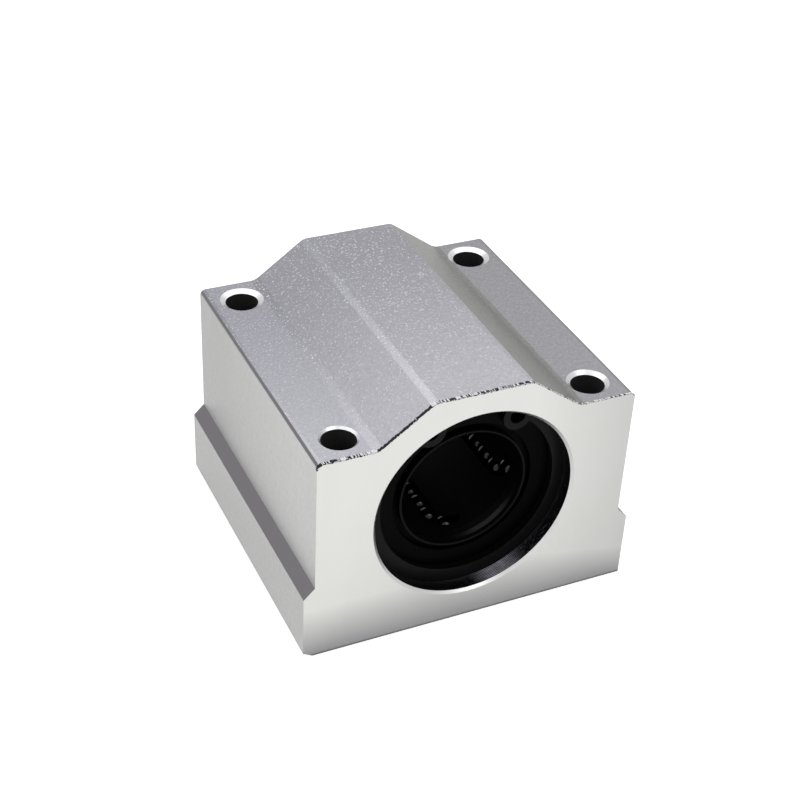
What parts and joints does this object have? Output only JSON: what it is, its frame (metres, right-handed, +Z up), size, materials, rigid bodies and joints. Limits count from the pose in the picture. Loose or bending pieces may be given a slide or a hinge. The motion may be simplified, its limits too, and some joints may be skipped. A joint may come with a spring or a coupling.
{
  "type": "linear bearing block",
  "caption": "Aluminium pillow block holding a sealed recirculating ball bushing for a round shaft, with tapped holes in its wings.",
  "frame": {"origin": "centre of the mounting face, under the middle of the block", "axes": "+X across the block, +Y along the shaft towards the rear end, +Z up from the mounting face"},
  "size_m": [0.054, 0.05, 0.041],
  "materials": {
    "block": "bead-blasted profile with machined ends",
    "sleeve": "ground hardened steel",
    "cage": "moulded black resin",
    "ring": "blackened steel",
    "seal": "black moulded rubber",
    "circlip": "black spring steel",
    "ball": "polished bearing steel"
  },
  "bodies": {
    "block": {"housing": "block", "outer_sleeve": "sleeve", "ball_cage": "cage", "front_side_ring": "ring", "rear_side_ring": "ring", "front_seal": "seal", "rear_seal": "seal", "front_circlip": "circlip", "rear_circlip": "circlip"},
    "load_rows": {"load_balls_1": "ball", "load_balls_2": "ball", "load_balls_3": "ball", "load_balls_4": "ball", "load_balls_5": "ball"},
    "return_rows": {"return_balls_1": "ball", "return_balls_2": "ball", "return_balls_3": "ball", "return_balls_4": "ball", "return_balls_5": "ball"},
    "front_turn_1": {"front_turn_balls_1": "ball"},
    "rear_turn_1": {"rear_turn_balls_1": "ball"},
    "front_turn_2": {"front_turn_balls_2": "ball"},
    "rear_turn_2": {"rear_turn_balls_2": "ball"},
    "front_turn_3": {"front_turn_balls_3": "ball"},
    "rear_turn_3": {"rear_turn_balls_3": "ball"},
    "front_turn_4": {"front_turn_balls_4": "ball"},
    "rear_turn_4": {"rear_turn_balls_4": "ball"},
    "front_turn_5": {"front_turn_balls_5": "ball"},
    "rear_turn_5": {"rear_turn_balls_5": "ball"}
  },
  "joints": [
    {"name": "load_row_travel", "type": "slide", "parent": "block", "child": "load_rows", "axis": [0, 1, 0], "range_m": [0, 0.0034]},
    {"name": "return_row_travel", "type": "slide", "parent": "block", "child": "return_rows", "axis": [0, -1, 0], "range_m": [0, 0.0034]},
    {"name": "front_turn_1", "type": "hinge", "parent": "block", "child": "front_turn_1", "pos_m": [0.00203, -0.0119, 0.0093], "axis": [-0.0531, 0, -0.9986], "range_deg": [0, 60]},
    {"name": "rear_turn_1", "type": "hinge", "parent": "block", "child": "rear_turn_1", "pos_m": [0.00203, 0.0119, 0.0093], "axis": [-0.0531, 0, -0.9986], "range_deg": [0, 60]},
    {"name": "front_turn_2", "type": "hinge", "parent": "block", "child": "front_turn_2", "pos_m": [0.01175, -0.0119, 0.01932], "axis": [0.9333, 0, -0.3591], "range_deg": [0, 60]},
    {"name": "rear_turn_2", "type": "hinge", "parent": "block", "child": "rear_turn_2", "pos_m": [0.01175, 0.0119, 0.01932], "axis": [0.9333, 0, -0.3591], "range_deg": [0, 60]},
    {"name": "front_turn_3", "type": "hinge", "parent": "block", "child": "front_turn_3", "pos_m": [0.00523, -0.0119, 0.03166], "axis": [0.6299, 0, 0.7767], "range_deg": [0, 60]},
    {"name": "rear_turn_3", "type": "hinge", "parent": "block", "child": "rear_turn_3", "pos_m": [0.00523, 0.0119, 0.03166], "axis": [0.6299, 0, 0.7767], "range_deg": [0, 60]},
    {"name": "front_turn_4", "type": "hinge", "parent": "block", "child": "front_turn_4", "pos_m": [-0.00852, -0.0119, 0.02927], "axis": [-0.544, 0, 0.8391], "range_deg": [0, 60]},
    {"name": "rear_turn_4", "type": "hinge", "parent": "block", "child": "rear_turn_4", "pos_m": [-0.00852, 0.0119, 0.02927], "axis": [-0.544, 0, 0.8391], "range_deg": [0, 60]},
    {"name": "front_turn_5", "type": "hinge", "parent": "block", "child": "front_turn_5", "pos_m": [-0.0105, -0.0119, 0.01545], "axis": [-0.9661, 0, -0.2581], "range_deg": [0, 60]},
    {"name": "rear_turn_5", "type": "hinge", "parent": "block", "child": "rear_turn_5", "pos_m": [-0.0105, 0.0119, 0.01545], "axis": [-0.9661, 0, -0.2581], "range_deg": [0, 60]}
  ],
  "couplings": [
    {"joint": "return_row_travel", "follows": "load_row_travel", "ratio": 1},
    {"joint": "front_turn_1", "follows": "load_row_travel", "rad_per_m": 308},
    {"joint": "rear_turn_1", "follows": "load_row_travel", "rad_per_m": 308},
    {"joint": "front_turn_2", "follows": "load_row_travel", "rad_per_m": 308},
    {"joint": "rear_turn_2", "follows": "load_row_travel", "rad_per_m": 308},
    {"joint": "front_turn_3", "follows": "load_row_travel", "rad_per_m": 308},
    {"joint": "rear_turn_3", "follows": "load_row_travel", "rad_per_m": 308},
    {"joint": "front_turn_4", "follows": "load_row_travel", "rad_per_m": 308},
    {"joint": "rear_turn_4", "follows": "load_row_travel", "rad_per_m": 308},
    {"joint": "front_turn_5", "follows": "load_row_travel", "rad_per_m": 308},
    {"joint": "rear_turn_5", "follows": "load_row_travel", "rad_per_m": 308}
  ]
}
